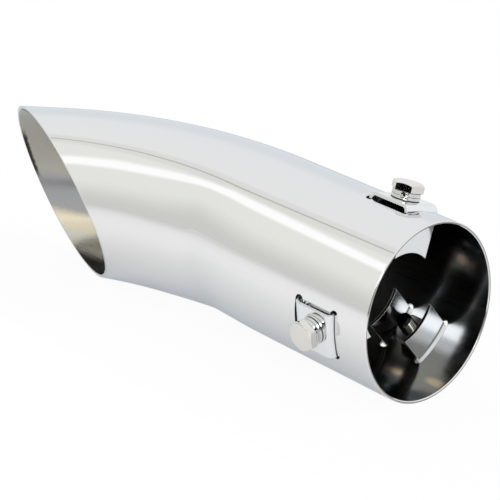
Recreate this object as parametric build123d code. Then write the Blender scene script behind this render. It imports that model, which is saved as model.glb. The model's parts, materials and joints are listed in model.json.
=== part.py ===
"""Curved, slash-cut exhaust tip held on the tail pipe by three screw-down clamp clips.

Units are millimetres. The origin is where the tail pipe is gripped: on the inlet axis, in the plane of the
three bolts. The inlet axis runs along X, with the mouth towards +X, and the whole tip lies as it comes to
rest on a floor: on the outlet's lower lip, the inlet's rim and the head of the rear bolt. +Z is up.
"""
import os
from math import cos, radians, sin, sqrt, tan

from build123d import *

# Tail tube
TUBE_OD = 63.0
TUBE_WALL = 1.0
INLET_RUN = 75.0        # straight run from the mouth to the bend
MOUTH_LEAN = 4.5        # top of the mouth set back, from square
BEND_RADIUS = 230.0     # to the centre line
BEND_ANGLE = 25.0
SLASH_ANGLE = 45.0      # outlet face, measured from square to the tube
SLASH_SPARE = 20.0      # left past the slash before it is cut
RIM_BREAK = 0.3         # chamfer on the mouth's edges

# How the tip lies
BEND_TURN = 112.3       # way that the bend goes, about the inlet axis from straight up
LIE_PITCH = 2.22        # mouth end down, from level

# Clamp set
CLAMP_SETBACK = 22.5    # mouth to bolt line, on the axis
CLAMP_TURNS = {"top": -11.2, "front": 102.8, "rear": -135.2}
PIPE_OD = 33.0          # smallest tail pipe, gripped with the clips screwed home
BACK_OFF = {"top": 0.0, "front": 0.0, "rear": 2.0}  # clip and bolt out from home

# Clamp clip, bent from strip
CLIP_SHEET = 1.2
CLIP_SPAN = 17.3        # outside to outside of the legs, along the tube
CLIP_WIDTH = 16.0       # round the tube
CLIP_BEND = 1.5         # inside radius
SEAT_GAP = 0.3          # web to tube on the bolt line, screwed home

# Slots for the legs
SLOT_INNER_PLAY = 0.45  # past the inside of the bend
SLOT_OUTER_PLAY = 1.1   # past the outside of the leg
SLOT_END_PLAY = 1.4     # past each side of the leg

# M6 hardware
BOLT_LENGTH = 19.0      # under the head
SHANK_D = 5.9
SHANK_POINT = 0.8       # chamfer at the free end
HEX_AF = 10.0
HEAD_HEIGHT = 2.8
HEX_CHAMFER = 0.55      # along the bolt, cut at 30 degrees
BOLT_HOLE_D = 6.6
BOLT_TURNS = {"top": 22.0, "front": 33.0, "rear": 15.0}
NUT_HEIGHT = 5.0
NUT_BORE_D = 6.0
WASHER_OD = 10.0
WASHER_ID = 6.5
PLAIN_HEIGHT = 1.3      # plain washer, on the clip
SPRING_HEIGHT = 1.5     # spring washer, under the head
SPRING_SPLIT = 0.9      # gap between its ends
SPRING_SLANT = 25.0     # of the split, from the bolt's axis
SPRING_TURNS = {"top": 300.0, "front": 40.0, "rear": 150.0}
HEAD_PLAY = 0.03        # head to spring washer, so the bolt turns freely

tube_r = TUBE_OD / 2
bore_r = tube_r - TUBE_WALL
web_in = tube_r + SEAT_GAP
web_out = web_in + CLIP_SHEET
spring_seat = web_out + PLAIN_HEIGHT
under_head = spring_seat + SPRING_HEIGHT + HEAD_PLAY

lie = Rot(0, LIE_PITCH, 0)


def hex_blank(height, chamfered_ends):
    """Hexagon bar with its corners turned off at 30 degrees, base on XY."""
    corner_r = HEX_AF / 2 / cos(radians(30))
    turned = Pos(0, 0, height / 2) * Cylinder(corner_r, height)
    for end in chamfered_ends:
        rim = turned.edges().filter_by(GeomType.CIRCLE).sort_by(Axis.Z)[end]
        face = turned.faces().filter_by(GeomType.CYLINDER)[0]
        turned = chamfer(rim, HEX_CHAMFER, HEX_CHAMFER / tan(radians(30)), reference=face)
    return extrude(RegularPolygon(corner_r, 6), height) & turned


def tail_tube():
    with BuildLine(Plane.XZ) as route:
        run = Line((CLAMP_SETBACK + tube_r, 0), (CLAMP_SETBACK - INLET_RUN, 0))
        bend = JernArc(run @ 1, run % 1, BEND_RADIUS, BEND_ANGLE)
        slash_reach = tube_r * tan(radians(SLASH_ANGLE))
        Line(bend @ 1, bend @ 1 + (bend % 1) * (slash_reach + SLASH_SPARE))
    section = Plane(run @ 0, z_dir=(-1, 0, 0)) * (Circle(tube_r) - Circle(bore_r))
    blank = sweep(section, route.line)

    # The slash leaves the outside of the bend long
    heading = bend % 1
    outward = Vector(heading.Z, 0, -heading.X)
    slant = radians(SLASH_ANGLE)
    slash = Plane(bend @ 1, z_dir=heading * cos(slant) - outward * sin(slant))
    tube = Rot(BEND_TURN - 180, 0, 0) * split(blank, bisect_by=slash, keep=Keep.BOTTOM)

    lean = radians(MOUTH_LEAN)
    mouth = Plane((CLAMP_SETBACK, 0, 0), z_dir=(cos(lean), 0, sin(lean)))
    tube = split(tube, bisect_by=mouth, keep=Keep.BOTTOM)
    tube = chamfer(tube.faces().sort_by(Axis.X)[-1].edges(), RIM_BREAK)

    # Leg slots and bolt holes
    bend_rise = min(tube_r - (web_in - CLIP_BEND), CLIP_BEND)
    bend_start = CLIP_SPAN / 2 - CLIP_SHEET - CLIP_BEND
    slot_near = bend_start + sqrt(CLIP_BEND**2 - bend_rise**2) - SLOT_INNER_PLAY
    slot_far = CLIP_SPAN / 2 + SLOT_OUTER_PLAY
    slot = SlotOverall(CLIP_WIDTH + 2 * SLOT_END_PLAY, slot_far - slot_near, rotation=90)
    for turn in CLAMP_TURNS.values():
        for side in (-1, 1):
            at = Rot(turn, 0, 0) * Pos(side * (slot_near + slot_far) / 2, 0, bore_r / 2)
            tube -= at * extrude(slot, tube_r)
        tube -= Rot(turn, 0, 0) * Pos(0, 0, bore_r) * Cylinder(BOLT_HOLE_D / 2, tube_r / 2)
    return tube


def clamp_clip():
    height = web_out - PIPE_OD / 4
    outer = Pos(0, web_out - height / 2) * Rectangle(CLIP_SPAN, height)
    inner = Pos(0, web_in - height / 2) * Rectangle(CLIP_SPAN - 2 * CLIP_SHEET, height)
    outer = fillet(outer.vertices().group_by(Axis.Y)[-1], CLIP_BEND + CLIP_SHEET)
    inner = fillet(inner.vertices().group_by(Axis.Y)[-1], CLIP_BEND)
    clip = extrude(Plane.XZ * (outer - inner), CLIP_WIDTH / 2, both=True)
    clip -= Rot(0, 90, 0) * Cylinder(PIPE_OD / 2, 2 * CLIP_SPAN)
    clip -= Pos(0, 0, web_out) * Cylinder(BOLT_HOLE_D / 2, 4 * CLIP_SHEET)
    return clip


def hex_bolt(spin):
    head = hex_blank(HEAD_HEIGHT, (-1,))
    shank = Pos(0, 0, -BOLT_LENGTH / 2) * Cylinder(SHANK_D / 2, BOLT_LENGTH)
    shank = chamfer(shank.edges().sort_by(Axis.Z)[0], SHANK_POINT)
    return Pos(0, 0, under_head) * Rot(0, 0, spin) * (head + shank)


def washer(seat, height):
    ring = Cylinder(WASHER_OD / 2, height) - Cylinder(WASHER_ID / 2, height)
    return Pos(0, 0, seat + height / 2) * ring


def spring_washer(spin):
    cut = Rot(SPRING_SLANT, 0, 0) * Box(WASHER_OD, SPRING_SPLIT, 4 * SPRING_HEIGHT)
    split_end = Pos(WASHER_OD / 2, 0, spring_seat + SPRING_HEIGHT / 2) * cut
    return Rot(0, 0, spin) * (washer(spring_seat, SPRING_HEIGHT) - split_end)


def weld_nut():
    """Hexagon nut whose seat follows the inside of the tube, where it is welded."""
    nut = Pos(0, 0, bore_r - NUT_HEIGHT) * hex_blank(NUT_HEIGHT, (0,))
    nut &= Rot(0, 90, 0) * Cylinder(bore_r, 2 * HEX_AF)
    nut -= Pos(0, 0, bore_r) * Cylinder(NUT_BORE_D / 2, 4 * NUT_HEIGHT)
    return nut


# Each clamp is modelled upright, local X along the tube and local Z out along the bolt, then turned
pieces = {"tail_tube": tail_tube()}
for place, turn in CLAMP_TURNS.items():
    fixed = Rot(turn, 0, 0)
    moved = fixed * Pos(0, 0, BACK_OFF[place])
    pieces["weld_nut_" + place] = fixed * weld_nut()
    pieces["clamp_clip_" + place] = moved * clamp_clip()
    pieces["plain_washer_" + place] = moved * washer(web_out, PLAIN_HEIGHT)
    pieces["spring_washer_" + place] = moved * spring_washer(SPRING_TURNS[place])
    pieces["hex_bolt_" + place] = moved * hex_bolt(BOLT_TURNS[place])

os.makedirs("parts", exist_ok=True)
for node, solid in pieces.items():
    export_step(lie * solid, "parts/" + node + ".step")
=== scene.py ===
"""Looks of the slash-cut exhaust tip: polished tube, clamp clips and threaded bolts, in a white photo tent.

Everything is in metres, in the frame of the solids: +X towards the inlet mouth, +Z up from the floor.
"""

import json
import math

import bmesh
import bpy
from mathutils import Matrix, Vector


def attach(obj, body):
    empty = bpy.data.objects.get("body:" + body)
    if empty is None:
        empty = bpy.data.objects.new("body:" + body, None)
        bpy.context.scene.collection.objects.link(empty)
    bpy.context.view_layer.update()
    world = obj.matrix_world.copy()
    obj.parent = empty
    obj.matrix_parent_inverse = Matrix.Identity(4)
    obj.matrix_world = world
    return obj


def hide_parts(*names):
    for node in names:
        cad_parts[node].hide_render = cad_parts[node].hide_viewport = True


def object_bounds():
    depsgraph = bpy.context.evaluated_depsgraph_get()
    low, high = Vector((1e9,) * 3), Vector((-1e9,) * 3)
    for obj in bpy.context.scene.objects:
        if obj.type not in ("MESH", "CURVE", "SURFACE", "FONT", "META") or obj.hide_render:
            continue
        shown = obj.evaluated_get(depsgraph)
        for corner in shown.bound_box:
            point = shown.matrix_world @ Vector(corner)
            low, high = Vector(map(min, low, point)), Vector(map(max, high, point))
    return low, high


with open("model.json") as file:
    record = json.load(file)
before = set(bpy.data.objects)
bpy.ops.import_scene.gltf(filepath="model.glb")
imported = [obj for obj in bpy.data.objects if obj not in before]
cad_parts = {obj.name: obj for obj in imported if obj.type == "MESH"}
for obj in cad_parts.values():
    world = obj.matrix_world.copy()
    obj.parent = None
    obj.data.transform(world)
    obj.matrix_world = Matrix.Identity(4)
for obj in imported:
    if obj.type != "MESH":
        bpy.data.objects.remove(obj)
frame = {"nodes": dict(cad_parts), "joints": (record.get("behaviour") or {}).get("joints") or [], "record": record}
cad_low, cad_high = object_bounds()


def rgb(red, green, blue):
    return (red, green, blue, 1.0)


MM = 0.001
UP = Vector((0.0, 0.0, 1.0))
BACK = Vector((0.0, 1.0, 0.0))
WHITE = rgb(1.0, 1.0, 1.0)
CLAMPS = ("top", "front", "rear")

# Tube, as in the solids
BORE_R = 30.5 * MM
RUN_END = -52.5 * MM            # where the bend starts, along the inlet axis from the origin
BEND_R = 230.0 * MM
BEND_ANGLE = math.radians(25)
BEND_TURN = math.radians(112.3)  # way of the bend, about the inlet axis from straight up
BEND_LENGTH = BEND_R * BEND_ANGLE
SLASH_ANGLE = math.radians(45)  # outlet face, from square to the tube

# Crease that the bending left, on the inside of the bend near its start
CREASE_AT = 14.5 * MM           # past the start of the bend
CREASE_DEPTH = 1.3 * MM
CREASE_REACH = 32.0 * MM        # each way along the tube
CREASE_ROUND = 0.08             # rounding of its bottom, as a share of the reach
CREASE_FULL = math.radians(33)  # round the tube from the bend's inside
CREASE_NONE = math.radians(68)
CREASE_RINGS = (0.8, 1.8, 3.0, 5.0, 7.5, 11.0, 15.0, 20.0, 26.0, 32.0)  # mm each way
RING_NEAR = 0.001 * MM          # a vertex this near a ring is on it
WALL_NEAR = 0.1 * MM            # a vertex this near the bore's wall is on it
CORNER_STEP = 0.01 * MM         # places are rounded to this when corners are matched

# M6 bolt, as in the solids, with a thread and a raised face under its head
HEAD_HEIGHT = 2.8 * MM
HEX_FLAT_R = 5.0 * MM
HEX_TOP_R = 4.82 * MM           # circle left flat by the chamfer
HEX_CHAMFER = math.radians(30)
HEAD_FACE_R = 4.65 * MM         # radius and height of the raised face
HEAD_FACE = 0.1 * MM
SHANK_LENGTH = 19.0 * MM
SHANK_POINT = 0.8 * MM
THREAD_R = 2.95 * MM
THREAD_ROOT_R = 2.42 * MM
PITCH = 1.0 * MM
THREAD_CREST = 0.125            # flat of the crest and of the root, as shares of the pitch
THREAD_ROOT = 0.25
NECK = 0.6 * MM                 # plain stretch under the head
BOLT_SIDES = 72
ROWS_PER_TURN = 12
BOLT_SHARP = math.radians(28)   # edges past this angle stay sharp

# Washers, as in the solids, with their edges rounded
WASHER_R = 5.0 * MM
WASHER_BORE_R = 3.25 * MM
WASHER_EDGE = 0.25 * MM
SPLIT_GAP = 0.9 * MM
SPLIT_SLANT = math.radians(25)
WASHER_STEPS = 96
EDGE_STEPS = 4
WASHER_SHARP = math.radians(40)

# Noise, and spots of colour
NOISE_MEAN = 0.5
NOISE_SPAN = (0.3, 0.7)         # where most of a noise lies
SPOT_CORE = 0.2                 # share of a spot's reach that has its full colour

# Outside of the tube: shades in pairs, roughness from smooth to rough
POLISH_SHADES = (rgb(0.80, 0.80, 0.805), rgb(0.82, 0.82, 0.82))
POLISH_ROUGH = (0.04, 0.07)
POLISH_EDGE = rgb(0.86, 0.92, 0.98)  # seen at a glancing angle
SMUDGES = {"scale": 55.0, "detail": 4.0, "roughness": 0.6}
SMUDGE_SPAN = (0.35, 0.75)
CUT_SHADE = rgb(0.37, 0.36, 0.345)
CUT_ROUGH = 0.25                # added to the polish
CUT_FACING = (0.75, 0.9)        # how squarely a face looks along the inlet axis: polished, cut
TUBE_BEVEL = 0.25 * MM

# Bore: lines drawn along the length, with stains, and paler and warmer at the bottom as a painted highlight
DRAWN_SHADES = (rgb(0.155, 0.16, 0.165), rgb(0.23, 0.235, 0.24))
DRAWN_ROUGH = (0.15, 0.21)
DRAWN_STRETCH = (12.0, 420.0, 420.0)
DRAWN_LINES = {"scale": 4.0, "detail": 6.0, "roughness": 0.65}
DRAWN_BUMP = (0.2, 0.02 * MM)   # strength and depth
# Paler, warmer bottom of the bore: a painted highlight
LOW_SHEEN_SHADE = rgb(0.235, 0.23, 0.205)
LOW_SHEEN_HEIGHTS = (-28.0 * MM, -21.0 * MM)  # painted highlight below, none above
STAIN_SHADE = rgb(0.26, 0.205, 0.145)
STAINS = {"scale": 70.0, "detail": 3.0}
STAIN_SPAN = (0.55, 0.75)
# Two painted warm highlights low in the bore near the mouth
PAINTED_GLINTS = ((Vector((5.0, 6.8, -29.9)) * MM, rgb(0.55, 0.37, 0.23)),
              (Vector((20.0, 10.0, -29.6)) * MM, rgb(0.50, 0.42, 0.27)))
PAINTED_GLINT_REACH = Vector((6.5, 2.8, 2.8)) * MM

# Bore at the outlet: painted reflections, grey at the top and in bands downward, with the heights in mm where each
# begins and is full
OUTLET_REACH = (-140.0 * MM, -95.0 * MM)  # along the inlet axis: full, none
OUTLET_ROUGH = 0.02             # added to the drawn finish
OUTLET_WAVER = 3.0 * MM         # of the heights, from line to line
OUTLET_TOP = (rgb(0.36, 0.35, 0.31), rgb(0.44, 0.425, 0.38))
OUTLET_REFLECTIONS = ((-6.0, -8.0, (rgb(0.34, 0.34, 0.35), rgb(0.40, 0.402, 0.41))),
                (-18.5, -22.0, (rgb(0.66, 0.595, 0.46), rgb(0.76, 0.69, 0.54))),
                (-24.2, -26.5, (rgb(0.58, 0.56, 0.50), rgb(0.68, 0.66, 0.60))),
                (-29.0, -31.2, (rgb(0.045, 0.028, 0.022), rgb(0.06, 0.04, 0.03))))
# Darker along part of the lip, inside the outlet
LIP_DARK = rgb(0.05, 0.04, 0.03)
LIP_DARK_DEPTH = 1.5 * MM       # furthest in from the lip that it is full
LIP_DARK_FADE = 0.9 * MM
LIP_DARK_HEIGHTS = (-11.5 * MM, -6.5 * MM, 5.5 * MM, 11.5 * MM)  # begins, full, full, ends
LIP_PATCHES = {"scale": 320.0}

# Strip of the clips
STRIP_SHADES = (rgb(0.82, 0.845, 0.865), rgb(0.85, 0.87, 0.885))
STRIP_ROUGH = (0.07, 0.13)
STRIP_CLOUDS = {"scale": 260.0, "detail": 3.0}
STRIP_BEVEL = 0.2 * MM
ROLLED_STRETCH = (30.0, 500.0, 500.0)
ROLLED_LINES = {"scale": 5.0, "detail": 4.0}
ROLLED_BUMP = (0.15, 0.01 * MM)  # strength and depth
# Painted highlight along the clips' sheared edges
EDGE_HIGHLIGHT_SHADE = rgb(0.93, 0.94, 0.95)
SHEARED_ROUGH = 0.35            # added to the strip
SHEARED_BEVEL = 0.35 * MM
SHEARED_FACING = (0.92, 0.995)  # how little the bevel turns a face: edge, flat
# Painted dark reflection on one leg of the rear clip
LEG_DARK_REFLECTION = rgb(0.11, 0.11, 0.115)
LEG_DARK_PLACE = Vector((-8.0, 12.0, -19.1)) * MM  # on the rear clip's leg nearer the outlet
LEG_DARK_REACH = Vector((3.0, 11.0, 11.0)) * MM

# Fasteners: shades in pairs, roughness from smooth to rough, and painted shade in crevices and between the
# threads' crests
BOLT_SHADES = (rgb(0.80, 0.785, 0.75), rgb(0.75, 0.735, 0.70))
BOLT_ROUGH = (0.06, 0.11)
WASHER_SHADES = (rgb(0.78, 0.78, 0.76), rgb(0.72, 0.72, 0.70))
WASHER_ROUGH = (0.08, 0.15)
NUT_SHADES = (rgb(0.38, 0.37, 0.36), rgb(0.28, 0.27, 0.26))
NUT_ROUGH = (0.28, 0.40)
FASTENER_CLOUDS = {"scale": 180.0}
FASTENER_BEVEL = 0.08 * MM
MOTTLE = {"scale": 900.0, "detail": 4.0, "roughness": 0.6}
MOTTLE_BUMP = (0.12, 0.01 * MM)  # strength and depth
# Painted shade for crevices and the roots of the threads
PAINTED_SHADE = rgb(0.02, 0.02, 0.02)
CREVICE_REACH = 0.6 * MM
CREVICE_OPEN = (0.45, 0.92)     # share of the surroundings that is open: painted shade, clear
CREST_DEPTH = 0.2 * MM          # outermost part of the thread, over which the painted shade fades out
THREAD_TOP = 34.0 * MM          # out from the inlet axis, hidden in a clip or its washers
THREAD_FADE = 1.0 * MM

# Camera, matched to the photograph's outline
CAMERA_PLACE = (0.4033, -0.46792, 0.23017)
CAMERA_AZIMUTH = math.radians(44.965)
CAMERA_ELEVATION = math.radians(19.565)
CAMERA_ROLL = math.radians(4.089)
CAMERA_LENS = 139.38
CAMERA_SENSOR = 36.0
CAMERA_NEAR = 0.01

# Floor; its glow and white have two distances, then the amounts at them
FLOOR_HALF = 0.8
FLOOR_SHADE = rgb(0.92, 0.92, 0.92)
FLOOR_FRONT_GLOW = (-0.10, 0.0, 1.08, 0.70)  # from front to back
FLOOR_FAR_GLOW = (0.12, 0.65, 1.0, 0.5)  # away from the origin
FLOOR_WHITE = (0.12, 0.4, 0.94, 1.0)  # away from the origin, as the camera sees it
FLOOR_MIRRORED = 0.42           # share of the glow in what the part mirrors

# Tent: azimuths from -Y towards +X, elevations, soft edges of both, all in degrees, and light added
TENT_LIGHT = 0.95
TENT_TINT = rgb(0.99, 1.0, 0.945)
FRONT_LEFT = (-72.0, -16.0)
FRONT_SOFT = 6.0
SOFT_BOX = (FRONT_LEFT, (40.5, 43.5), (FRONT_SOFT, 3.5))
SOFT_BOX_LIGHT = 0.26
PANELS = {
    "eye level": (FRONT_LEFT, (-4.0, 2.0), (FRONT_SOFT, 26.0), -0.22),
    "panel edge": ((-79.0, -65.0), (30.0, 70.0), (4.0, 4.0), -0.08),
    "seam": ((-72.2, -71.4), (20.0, 70.0), (0.8, 0.8), -0.38),
    "behind": ((-180.0, -122.0), (0.0, 20.0), (12.0, 12.0), -0.06),
    "opening": ((0.0, 24.0), (-12.0, 4.0), (9.0, 9.0), -0.95),
    "camera": ((30.0, 60.0), (-20.0, 19.0), (6.0, 6.0), -0.75),
}
LAMPS = {
    "key box": ((34.0, 52.0), (22.0, 34.0), (4.0, 4.0), 5.0),
    "key spill": ((50.0, 62.0), (30.0, 45.0), (5.0, 5.0), 2.0),
}


class Shader:
    """Adds nodes to one node tree in few words."""

    def __init__(self, tree):
        self.tree = tree
        self.tree.nodes.clear()

    def add(self, kind, inputs=None, **settings):
        node = self.tree.nodes.new(kind)
        for name, value in settings.items():
            setattr(node, name, value)
        for name, value in (inputs or {}).items():
            self.set(node.inputs[name], value)
        return node

    def set(self, socket, value):
        if isinstance(value, bpy.types.NodeSocket):
            self.tree.links.new(value, socket)
        else:
            socket.default_value = value

    def math(self, operation, a, b=0.0, clamp=False):
        return self.add("ShaderNodeMath", {0: a, 1: b}, operation=operation, use_clamp=clamp).outputs[0]

    def vector(self, operation, a, b=(0.0, 0.0, 0.0)):
        return self.add("ShaderNodeVectorMath", {0: a, 1: b}, operation=operation).outputs

    def dot(self, vector, direction):
        return self.vector("DOT_PRODUCT", vector, direction)["Value"]

    def off_axis(self, place, axis):
        """Distance from a line through the origin."""
        on_axis = self.vector("PROJECT", place, axis)["Vector"]
        return self.vector("DISTANCE", place, on_axis)["Value"]

    def ramp(self, value, low, high, to_low=0.0, to_high=1.0):
        """Smooth change from one amount to another between two values."""
        limits = {"Value": value, "From Min": low, "From Max": high, "To Min": to_low, "To Max": to_high}
        node = self.add("ShaderNodeMapRange", limits, clamp=True, interpolation_type="SMOOTHSTEP")
        return node.outputs["Result"]

    def band(self, value, start, full, last, end):
        """One from full to last, falling to zero at start and end."""
        return self.math("MULTIPLY", self.ramp(value, start, full), self.ramp(value, last, end, 1.0, 0.0))

    def spot(self, place, centre, reach):
        """One at a centre, falling to zero at a reach that differs by axis."""
        offset = self.vector("SUBTRACT", place, centre)["Vector"]
        share = self.vector("DIVIDE", offset, reach)["Vector"]
        return self.ramp(self.vector("LENGTH", share)["Value"], SPOT_CORE, 1.0, 1.0, 0.0)

    def mix(self, factor, a, b):
        return self.add("ShaderNodeMix", {0: factor, 6: a, 7: b}, data_type="RGBA").outputs[2]

    def blend(self, factor, a, b):
        return self.add("ShaderNodeMixShader", {0: factor, 1: a, 2: b}).outputs[0]

    def noise(self, vector, scale, detail=2.0, roughness=0.5):
        look = {"Vector": vector, "Scale": scale, "Detail": detail, "Roughness": roughness}
        return self.add("ShaderNodeTexNoise", look).outputs["Fac"]

    def stretch(self, vector, scale):
        return self.add("ShaderNodeMapping", {"Vector": vector, "Scale": scale}).outputs["Vector"]

    def bump(self, height, strength, distance, normal):
        look = {"Height": height, "Strength": strength, "Distance": distance, "Normal": normal}
        return self.add("ShaderNodeBump", look).outputs["Normal"]

    def bevel(self, radius):
        return self.add("ShaderNodeBevel", {"Radius": radius}, samples=6).outputs["Normal"]

    def crevices(self, color):
        """Painted shade where a surface lies close to another one."""
        node = self.add("ShaderNodeAmbientOcclusion", {"Distance": CREVICE_REACH}, samples=8)
        return self.mix(self.ramp(node.outputs["AO"], *CREVICE_OPEN), PAINTED_SHADE, color)

    def object_place(self):
        return self.add("ShaderNodeTexCoord").outputs["Object"]

    def true_normal(self):
        return self.add("ShaderNodeNewGeometry").outputs["True Normal"]

    def show(self, surface, output="ShaderNodeOutputMaterial"):
        self.add(output, {"Surface": surface})

    def metal(self, color, roughness, normal, edge_tint=WHITE):
        look = {"Base Color": color, "Roughness": roughness, "Normal": normal}
        look.update({"Metallic": 1.0, "Specular Tint": edge_tint})
        self.show(self.add("ShaderNodeBsdfPrincipled", look).outputs[0])


def new_material(name):
    material = bpy.data.materials.new(name)
    material.use_nodes = True
    return material, Shader(material.node_tree)


# Directions of the part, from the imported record
inlet_axis = Vector(frame["record"]["mounts"][0]["axis"]).normalized()
joints = {joint["name"]: joint for joint in frame["joints"]}


def across(turn):
    """Unit vector square to the inlet axis, turned about it from straight up."""
    up = inlet_axis.cross(BACK).normalized()
    return up * math.cos(turn) - BACK * math.sin(turn)


def bolt_axis(clamp):
    """Way out along a clamp's bolt, whose middle line goes through the origin."""
    return Vector(joints[clamp + "_bolt_turn"]["axis"]).normalized()


def add_object(name, mesh, node, body):
    piece = bpy.data.objects.new(name, mesh)
    bpy.context.scene.collection.objects.link(piece)
    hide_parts(node)
    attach(piece, body)
    return piece


def add_piece(name, vertices, faces, sharp_angle, node, body):
    """New mesh that stands for a node of the solids."""
    mesh = bpy.data.meshes.new(name)
    mesh.from_pydata(vertices, [], faces)
    mesh.shade_smooth()
    mesh.set_sharp_from_angle(angle=sharp_angle)
    return add_object(name, mesh, node, body)


def dress(piece, material):
    if piece.material_slots:
        piece.material_slots[0].material = material
    else:
        piece.data.materials.append(material)


class TubeLine:
    """The tube's centre line: straight run, bend, straight end, measured from the start of the bend."""

    def __init__(self):
        self.inside = across(BEND_TURN)
        self.square = inlet_axis.cross(self.inside)

    def section(self, along):
        """Centre, way on and way to the inside of the bend."""
        angle = min(max(along, 0.0) / BEND_R, BEND_ANGLE)
        way = self.inside * math.sin(angle) - inlet_axis * math.cos(angle)
        inward = self.inside * math.cos(angle) + inlet_axis * math.sin(angle)
        past_ends = min(along, 0.0) + max(along - BEND_LENGTH, 0.0)
        centre = inlet_axis * RUN_END + (self.inside - inward) * BEND_R + way * past_ends
        return centre, way, inward

    def locate(self, point):
        """Distance along the line, angle round it from the bend's inside, and distance from it."""
        before = RUN_END - point.dot(inlet_axis)
        angle = math.atan2(before, BEND_R - point.dot(self.inside))
        along = before if before < 0.0 else BEND_R * min(angle, BEND_ANGLE)
        if angle > BEND_ANGLE:
            centre, way, _ = self.section(along)
            along += (point - centre).dot(way)
        centre, _, inward = self.section(along)
        toward = (point - centre).dot(inward)
        aside = (point - centre).dot(self.square)
        return along, math.atan2(aside, toward), math.hypot(toward, aside)


tube_line = TubeLine()


def crease(along, turn):
    """Depth of the crease, and how it changes along the tube and round it."""
    share = (along - CREASE_AT) / CREASE_REACH
    size = math.hypot(share, CREASE_ROUND)
    edge = CREASE_NONE - CREASE_FULL
    near = min(max((CREASE_NONE - abs(turn)) / edge, 0.0), 1.0)
    if size >= 1.0 or near == 0.0:
        return 0.0, 0.0, 0.0
    fade = (1.0 - size) ** 2
    fade_slope = -2.0 * (1.0 - size) * share / size / CREASE_REACH
    hold = near * near * (3.0 - 2.0 * near)
    hold_slope = -6.0 * near * (1.0 - near) / edge * math.copysign(1.0, turn)
    return CREASE_DEPTH * fade * hold, CREASE_DEPTH * fade_slope * hold, CREASE_DEPTH * fade * hold_slope


def creased_point(place, dent):
    """How the crease moves a point of the wall, and the wall's normal there, away from the centre line."""
    along, turn, radius = place
    depth, slope, twist = dent
    _, way, inward = tube_line.section(along)
    radial = inward * math.cos(turn) + tube_line.square * math.sin(turn)
    round_way = tube_line.square * math.cos(turn) - inward * math.sin(turn)
    stretch = 1.0 - radius * math.cos(turn) / BEND_R if along > 0.0 else 1.0
    normal = radial + round_way * (twist / radius) + way * (slope / stretch)
    return radial * -depth, normal.normalized()


def ringed_mesh(source):
    """Copy of the solid's mesh with more rings of vertices by the crease."""
    shape = bmesh.new()
    shape.from_mesh(source)
    for ring in CREASE_RINGS:
        for side in (-1, 1):
            centre, way, _ = tube_line.section(CREASE_AT + side * ring * MM)
            everything = shape.verts[:] + shape.edges[:] + shape.faces[:]
            bmesh.ops.bisect_plane(shape, geom=everything, dist=RING_NEAR, plane_co=centre, plane_no=way)
    mesh = bpy.data.meshes.new("creased_tube")
    shape.to_mesh(mesh)
    shape.free()
    return mesh


def corner_key(face, vertex):
    return tuple(round(value / CORNER_STEP) for value in (*face.center, *vertex.co))


def corner_normals(mesh):
    """Normal of each corner of a mesh, by the places of its face and vertex."""
    normals = {}
    for face in mesh.polygons:
        for loop in face.loop_indices:
            vertex = mesh.vertices[mesh.loops[loop].vertex_index]
            normals[corner_key(face, vertex)] = mesh.corner_normals[loop].vector.copy()
    return normals


def creased_tube():
    """The tube with its crease and exact normals; its faces say whether they are in the bore."""
    source = frame["nodes"]["tail_tube"].data
    kept = corner_normals(source)
    mesh = ringed_mesh(source)
    mesh.shade_smooth()
    places = [tube_line.locate(vertex.co) for vertex in mesh.vertices]
    dents = [crease(along, turn) for along, turn, _ in places]
    shifts, outward = zip(*map(creased_point, places, dents))

    bore = mesh.attributes.new("bore", "FLOAT", "FACE")
    normals = []
    for face in mesh.polygons:
        in_bore = all(abs(places[i][2] - BORE_R) < WALL_NEAR for i in face.vertices)
        bore.data[face.index].value = float(in_bore)
        dented = any(any(dents[i]) for i in face.vertices)
        for i in face.vertices:
            exact = -outward[i] if in_bore else outward[i]
            normals.append(exact if dented else kept.get(corner_key(face, mesh.vertices[i]), exact))

    for vertex, shift in zip(mesh.vertices, shifts):
        vertex.co += shift
    mesh.normals_split_custom_set(normals)
    return add_object("creased_tube", mesh, "tail_tube", "tip")


def outlet_color(shader, place, lines):
    """Bore at the outlet: painted reflections that change with height, and darker along part of the lip."""
    waver = shader.math("MULTIPLY", shader.math("SUBTRACT", lines, NOISE_MEAN), OUTLET_WAVER)
    height = shader.math("ADD", shader.dot(place, UP), waver)
    color = shader.mix(lines, *OUTLET_TOP)
    for start, full, shades in OUTLET_REFLECTIONS:
        depth = shader.ramp(height, full * MM, start * MM, 1.0, 0.0)
        color = shader.mix(depth, color, shader.mix(lines, *shades))

    centre, way, inward = tube_line.section(BEND_LENGTH)
    slash_way = way * math.cos(SLASH_ANGLE) + inward * math.sin(SLASH_ANGLE)
    past_lip = shader.math("SUBTRACT", shader.dot(place, slash_way), centre.dot(slash_way))
    patchy = shader.math("MULTIPLY", shader.noise(place, **LIP_PATCHES), LIP_DARK_DEPTH)
    by_lip = shader.ramp(shader.math("ADD", past_lip, patchy), -LIP_DARK_FADE, 0.0)
    lip_dark = shader.math("MULTIPLY", by_lip, shader.band(height, *LIP_DARK_HEIGHTS))
    return shader.mix(lip_dark, color, LIP_DARK)


def bore_color(shader, place, lines, by_outlet):
    """Dark drawn metal with brown stains, paler and warmer at the bottom and in two spots near the mouth as
    painted highlights.
    """
    drawn = shader.mix(lines, *DRAWN_SHADES)
    color = shader.mix(shader.ramp(shader.dot(place, UP), *LOW_SHEEN_HEIGHTS), LOW_SHEEN_SHADE, drawn)
    color = shader.mix(shader.ramp(shader.noise(place, **STAINS), *STAIN_SPAN), color, STAIN_SHADE)
    for centre, tint in PAINTED_GLINTS:
        color = shader.mix(shader.spot(place, centre, PAINTED_GLINT_REACH), color, tint)
    return shader.mix(by_outlet, color, outlet_color(shader, place, lines))


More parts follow.
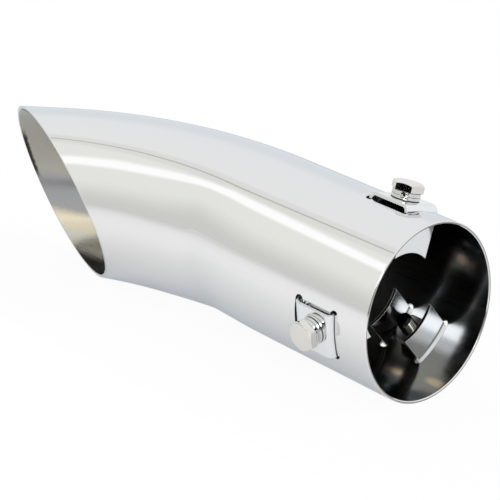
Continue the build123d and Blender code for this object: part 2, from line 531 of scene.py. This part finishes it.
def tube_material():
    """Mirror polish outside and a drawn finish in the bore.

    The mouth's end face and the long sides of the slots keep the dull grey of the cut.
    """
    material, shader = new_material("polished_tube")
    place = shader.object_place()
    in_bore = shader.add("ShaderNodeAttribute", attribute_name="bore").outputs["Fac"]
    outside = shader.math("SUBTRACT", 1.0, in_bore)
    lines = shader.noise(shader.stretch(place, DRAWN_STRETCH), **DRAWN_LINES)
    smudges = shader.noise(place, **SMUDGES)
    by_outlet = shader.ramp(shader.dot(place, inlet_axis), *OUTLET_REACH, 1.0, 0.0)
    facing = shader.math("ABSOLUTE", shader.dot(shader.true_normal(), inlet_axis))
    cut = shader.ramp(facing, *CUT_FACING)

    outer = shader.mix(cut, shader.mix(smudges, *POLISH_SHADES), CUT_SHADE)
    color = shader.mix(outside, bore_color(shader, place, lines, by_outlet), outer)

    drawn_rough = shader.ramp(lines, *NOISE_SPAN, *DRAWN_ROUGH)
    bore_rough = shader.math("ADD", drawn_rough, shader.math("MULTIPLY", by_outlet, OUTLET_ROUGH))
    polish_rough = shader.ramp(smudges, *SMUDGE_SPAN, *POLISH_ROUGH)
    outer_rough = shader.math("ADD", polish_rough, shader.math("MULTIPLY", cut, CUT_ROUGH))
    roughness = shader.math("ADD", shader.math("MULTIPLY", bore_rough, in_bore),
                            shader.math("MULTIPLY", outer_rough, outside))
    grain = shader.math("MULTIPLY", lines, in_bore)
    normal = shader.bump(grain, *DRAWN_BUMP, shader.bevel(TUBE_BEVEL))
    shader.metal(color, roughness, normal, edge_tint=POLISH_EDGE)
    return material


def strip_material():
    """Polished strip of the clips, with faint rolling lines, rougher sheared edges with a painted highlight along
    them, and a painted dark reflection on one leg.
    """
    material, shader = new_material("clip_steel")
    place = shader.object_place()
    rolled = shader.noise(shader.stretch(place, ROLLED_STRETCH), **ROLLED_LINES)
    color = shader.mix(shader.noise(place, **STRIP_CLOUDS), *STRIP_SHADES)
    color = shader.mix(shader.spot(place, LEG_DARK_PLACE, LEG_DARK_REACH), color, LEG_DARK_REFLECTION)
    facing = shader.dot(shader.bevel(SHEARED_BEVEL), shader.true_normal())
    edge = shader.ramp(facing, *SHEARED_FACING, 1.0, 0.0)
    color = shader.mix(edge, color, EDGE_HIGHLIGHT_SHADE)
    roughness = shader.ramp(rolled, *NOISE_SPAN, *STRIP_ROUGH)
    roughness = shader.math("ADD", roughness, shader.math("MULTIPLY", edge, SHEARED_ROUGH))
    normal = shader.bump(rolled, *ROLLED_BUMP, shader.bevel(STRIP_BEVEL))
    shader.metal(color, roughness, normal)
    return material


def thread_root_shade(shader, place, color):
    """Painted shade between the crests of the threads, as far out as can be seen."""
    reach = 0.0
    off_axis = 1.0
    for clamp in CLAMPS:
        reach = shader.math("MAXIMUM", shader.dot(place, bolt_axis(clamp)), reach)
        off_axis = shader.math("MINIMUM", shader.off_axis(place, bolt_axis(clamp)), off_axis)
    thread = shader.mix(shader.ramp(off_axis, THREAD_R - CREST_DEPTH, THREAD_R), PAINTED_SHADE, color)
    return shader.mix(shader.ramp(reach, THREAD_TOP - THREAD_FADE, THREAD_TOP), thread, color)


def plated_material(name, shades, roughness, threaded=False):
    """Metal of turned or pressed fasteners: fine mottling, soft edges and painted shade in the crevices."""
    material, shader = new_material(name)
    place = shader.object_place()
    mottle = shader.noise(place, **MOTTLE)
    color = shader.mix(shader.noise(place, **FASTENER_CLOUDS), *shades)
    if threaded:
        color = thread_root_shade(shader, place, color)
    color = shader.crevices(color)
    normal = shader.bump(mottle, *MOTTLE_BUMP, shader.bevel(FASTENER_BEVEL))
    shader.metal(color, shader.ramp(mottle, *NOISE_SPAN, *roughness), normal)
    return material


def thread_radius(height, angle):
    """Radius of the shank at a height, which is negative below the head, along a right-hand helix."""
    turn = (height / PITCH - angle / math.tau) % 1.0
    flank = (1.0 - THREAD_CREST - THREAD_ROOT) / 2
    nearer_crest = min(turn - THREAD_CREST, 1.0 - turn)
    depth = min(max(nearer_crest / flank, 0.0), 1.0)
    below = -height
    fade_in = min(max((below - NECK) / PITCH, 0.0), 1.0)
    radius = THREAD_R - depth * fade_in * (THREAD_R - THREAD_ROOT_R)
    return min(radius, THREAD_R - SHANK_POINT + (SHANK_LENGTH - below))


def hex_radius(angle):
    sixth = math.pi / 3
    return HEX_FLAT_R / math.cos((angle % sixth) - sixth / 2)


def bolt_rings():
    """Rings of (radius, height) round the bolt, from the top of the head to the point."""
    angles = [math.tau * i / BOLT_SIDES for i in range(BOLT_SIDES)]
    slope = math.tan(HEX_CHAMFER)
    chamfered = [HEAD_HEIGHT - (hex_radius(angle) - HEX_TOP_R) * slope for angle in angles]
    rings = [[(HEX_TOP_R, HEAD_HEIGHT) for _ in angles]]
    rings.append([(hex_radius(angle), height) for angle, height in zip(angles, chamfered)])
    rings.append([(hex_radius(angle), HEAD_FACE) for angle in angles])
    rings.append([(HEAD_FACE_R, HEAD_FACE) for _ in angles])
    rings.append([(HEAD_FACE_R, 0.0) for _ in angles])
    rows = round(SHANK_LENGTH / PITCH * ROWS_PER_TURN)
    for row in range(rows + 1):
        height = -SHANK_LENGTH * row / rows
        rings.append([(thread_radius(height, angle), height) for angle in angles])
    return angles, rings


def bolt_faces(ring_count):
    """Faces from the vertex at the head's middle, over the rings, to the one at the point's middle."""
    faces = []
    last_ring = 1 + (ring_count - 1) * BOLT_SIDES
    for i in range(BOLT_SIDES):
        j = (i + 1) % BOLT_SIDES
        faces.append((0, 1 + i, 1 + j))
        for row in range(ring_count - 1):
            upper = 1 + row * BOLT_SIDES
            lower = upper + BOLT_SIDES
            faces.append((upper + i, lower + i, lower + j, upper + j))
        faces.append((last_ring + i, last_ring + BOLT_SIDES, last_ring + j))
    return faces


class BoltLine:
    """Places points round one clamp's bolt: height along it from the origin, angle about it."""

    def __init__(self, clamp):
        self.axis = bolt_axis(clamp)
        self.along = (inlet_axis - self.axis * inlet_axis.dot(self.axis)).normalized()
        self.side = self.axis.cross(self.along)

    def point(self, radius, angle, height):
        outward = self.along * math.cos(angle) + self.side * math.sin(angle)
        return self.axis * height + outward * radius

    def measure(self, node):
        """(radius, angle, height) of each vertex of a node."""
        rows = []
        for vertex in frame["nodes"][node].data.vertices:
            x, y = vertex.co.dot(self.along), vertex.co.dot(self.side)
            rows.append((math.hypot(x, y), math.atan2(y, x), vertex.co.dot(self.axis)))
        return rows


def threaded_bolt(clamp):
    """Hexagon-head bolt with its thread, where the plain solid is."""
    line = BoltLine(clamp)
    node = "hex_bolt_" + clamp
    solid = line.measure(node)
    under_head = max(height for _, _, height in solid) - HEAD_HEIGHT
    corner = max(solid)[1]

    angles, rings = bolt_rings()
    vertices = [line.point(0.0, 0.0, under_head + HEAD_HEIGHT)]
    for ring in rings:
        for angle, (radius, height) in zip(angles, ring):
            vertices.append(line.point(radius, corner + angle, under_head + height))
    vertices.append(line.point(0.0, 0.0, under_head - SHANK_LENGTH))
    return add_piece("threaded_bolt_" + clamp, vertices, bolt_faces(len(rings)), BOLT_SHARP,
                     node, "bolt_" + clamp)


def washer_section(thickness):
    """Rounded section of a washer: (radius, height) points from its foot."""
    points = []
    corners = ((WASHER_R, 0.0, -90), (WASHER_R, thickness, 0),
               (WASHER_BORE_R, thickness, 90), (WASHER_BORE_R, 0.0, 180))
    middle_r, middle_h = (WASHER_R + WASHER_BORE_R) / 2, thickness / 2
    for radius, height, start in corners:
        centre_r = radius - math.copysign(WASHER_EDGE, radius - middle_r)
        centre_h = height - math.copysign(WASHER_EDGE, height - middle_h)
        for step in range(EDGE_STEPS + 1):
            turn = math.radians(start + 90 * step / EDGE_STEPS)
            points.append((centre_r + WASHER_EDGE * math.cos(turn), centre_h + WASHER_EDGE * math.sin(turn)))
    return points


def washer_faces(size, turns, split):
    """Faces between sections of a size, closed round the ring or capped at a split."""
    faces = []
    for step in range(WASHER_STEPS):
        here, after = step * size, ((step + 1) % turns) * size
        for i in range(size):
            j = (i + 1) % size
            faces.append((here + i, after + i, after + j, here + j))
    if split:
        faces.append(tuple(range(size)))
        faces.append(tuple(reversed(range((turns - 1) * size, turns * size))))
    return faces


def widest_gap(angles):
    """Middle of the widest gap between angles round a circle."""
    around = sorted(angles)
    around.append(around[0] + math.tau)
    gaps = [(after - before, (after + before) / 2) for before, after in zip(around, around[1:])]
    return max(gaps)[1]


def washer(clamp, kind, split):
    """Plain or split washer with rounded edges, where the plain solid is."""
    line = BoltLine(clamp)
    node = kind + "_washer_" + clamp
    solid = line.measure(node)
    heights = [height for _, _, height in solid]
    foot, thickness = min(heights), max(heights) - min(heights)
    section = washer_section(thickness)
    opening = widest_gap(angle for _, angle, _ in solid) if split else 0.0
    gap = SPLIT_GAP / WASHER_R if split else 0.0
    slant = math.tan(SPLIT_SLANT) if split else 0.0

    turns = WASHER_STEPS + 1 if split else WASHER_STEPS
    vertices = []
    for step in range(turns):
        angle = opening + gap / 2 + (math.tau - gap) * step / WASHER_STEPS
        for radius, height in section:
            lean = slant * (height - thickness / 2) / WASHER_R
            vertices.append(line.point(radius, angle - lean, foot + height))
    faces = washer_faces(len(section), turns, split)
    return add_piece(kind + "_washer_ring_" + clamp, vertices, faces, WASHER_SHARP,
                     node, "clip_" + clamp)


def floor_material():
    """Pale floor that shows the camera white with a faint shadow, and glows in part where it is mirrored."""
    material, shader = new_material("floor")
    place = shader.object_place()
    away = shader.vector("LENGTH", place)["Value"]
    path = shader.add("ShaderNodeLightPath").outputs
    in_front = shader.ramp(shader.dot(place, BACK), *FLOOR_FRONT_GLOW)
    faded = shader.math("MULTIPLY", in_front, shader.ramp(away, *FLOOR_FAR_GLOW))
    strength = shader.math("MAXIMUM", path["Is Camera Ray"], faded)
    seen = shader.math("MULTIPLY", path["Is Camera Ray"], shader.ramp(away, *FLOOR_WHITE))
    mirrored = shader.math("MULTIPLY", path["Is Glossy Ray"], FLOOR_MIRRORED)
    matt = shader.add("ShaderNodeBsdfDiffuse", {"Color": FLOOR_SHADE}).outputs[0]
    glow = shader.add("ShaderNodeEmission", {"Color": WHITE, "Strength": strength}).outputs[0]
    shader.show(shader.blend(shader.math("MAXIMUM", seen, mirrored), matt, glow))
    return material


def studio_floor():
    mesh = bpy.data.meshes.new("floor")
    low, half = cad_low.z, FLOOR_HALF
    corners = [(-half, -half, low), (half, -half, low), (half, half, low), (-half, half, low)]
    mesh.from_pydata(corners, [], [(0, 1, 2, 3)])
    floor = bpy.data.objects.new("floor", mesh)
    bpy.context.scene.collection.objects.link(floor)
    dress(floor, floor_material())


def tent_light(shader):
    """Light and tint of the tent: bright walls, soft box, dull band at eye level, lamps and dark camera."""
    way = shader.add("ShaderNodeTexCoord").outputs["Generated"]
    split = shader.add("ShaderNodeSeparateXYZ", {"Vector": way}).outputs
    toward = shader.math("MULTIPLY", split["Y"], -1.0)
    azimuth = shader.math("DEGREES", shader.math("ARCTAN2", split["X"], toward))
    elevation = shader.math("DEGREES", shader.math("ARCSINE", split["Z"]))

    def between(angle, limits, soft):
        low, high = limits
        return shader.band(angle, low - soft, low, high, high + soft)

    def zone(azimuths, elevations, softness):
        return shader.math("MULTIPLY", between(azimuth, azimuths, softness[0]),
                           between(elevation, elevations, softness[1]))

    def add_light(light, mask, amount):
        return shader.math("ADD", light, shader.math("MULTIPLY", mask, amount))

    soft_box = zone(*SOFT_BOX)
    light = add_light(TENT_LIGHT, soft_box, SOFT_BOX_LIGHT)
    for *panel, amount in PANELS.values():
        light = add_light(light, zone(*panel), amount)
    light = shader.math("MAXIMUM", light, 0.0)
    for *lamp, amount in LAMPS.values():
        light = add_light(light, zone(*lamp), amount)

    front_left = between(azimuth, FRONT_LEFT, FRONT_SOFT)
    tinted = shader.math("SUBTRACT", front_left, soft_box, clamp=True)
    return light, shader.mix(tinted, WHITE, TENT_TINT)


def studio_world():
    """The tent lights the part, and the camera sees white behind it."""
    world = bpy.data.worlds.new("tent")
    bpy.context.scene.world = world
    world.use_nodes = True
    shader = Shader(world.node_tree)
    light, tint = tent_light(shader)
    tent = shader.add("ShaderNodeBackground", {"Color": tint, "Strength": light}).outputs[0]
    white = shader.add("ShaderNodeBackground", {"Color": WHITE, "Strength": 1.0}).outputs[0]
    seen = shader.add("ShaderNodeLightPath").outputs["Is Camera Ray"]
    shader.show(shader.blend(seen, tent, white), output="ShaderNodeOutputWorld")


def studio_camera():
    level = Vector((math.cos(CAMERA_AZIMUTH), math.sin(CAMERA_AZIMUTH), 0.0))
    back = Vector((math.sin(CAMERA_AZIMUTH) * math.cos(CAMERA_ELEVATION),
                   -math.cos(CAMERA_AZIMUTH) * math.cos(CAMERA_ELEVATION), math.sin(CAMERA_ELEVATION)))
    above = back.cross(level)
    right = level * math.cos(CAMERA_ROLL) + above * math.sin(CAMERA_ROLL)
    up = above * math.cos(CAMERA_ROLL) - level * math.sin(CAMERA_ROLL)
    data = bpy.data.cameras.new("camera")
    data.lens = CAMERA_LENS
    data.sensor_width = CAMERA_SENSOR
    data.clip_start = CAMERA_NEAR
    camera = bpy.data.objects.new("camera", data)
    turn = Matrix((right, up, back)).transposed().to_4x4()
    camera.matrix_world = Matrix.Translation(CAMERA_PLACE) @ turn
    bpy.context.scene.collection.objects.link(camera)
    bpy.context.scene.camera = camera


polished = tube_material()
strip = strip_material()
bolt_steel = plated_material("bolt_steel", BOLT_SHADES, BOLT_ROUGH, threaded=True)
washer_steel = plated_material("washer_steel", WASHER_SHADES, WASHER_ROUGH)
nut_steel = plated_material("nut_steel", NUT_SHADES, NUT_ROUGH)

nodes = frame["nodes"]
dress(creased_tube(), polished)
for clamp in CLAMPS:
    dress(nodes["clamp_clip_" + clamp], strip)
    dress(washer(clamp, "plain", split=False), washer_steel)
    dress(washer(clamp, "spring", split=True), washer_steel)
    dress(nodes["weld_nut_" + clamp], nut_steel)
    dress(threaded_bolt(clamp), bolt_steel)

studio_floor()
studio_world()
studio_camera()
bpy.context.scene.view_settings.view_transform = "Standard"
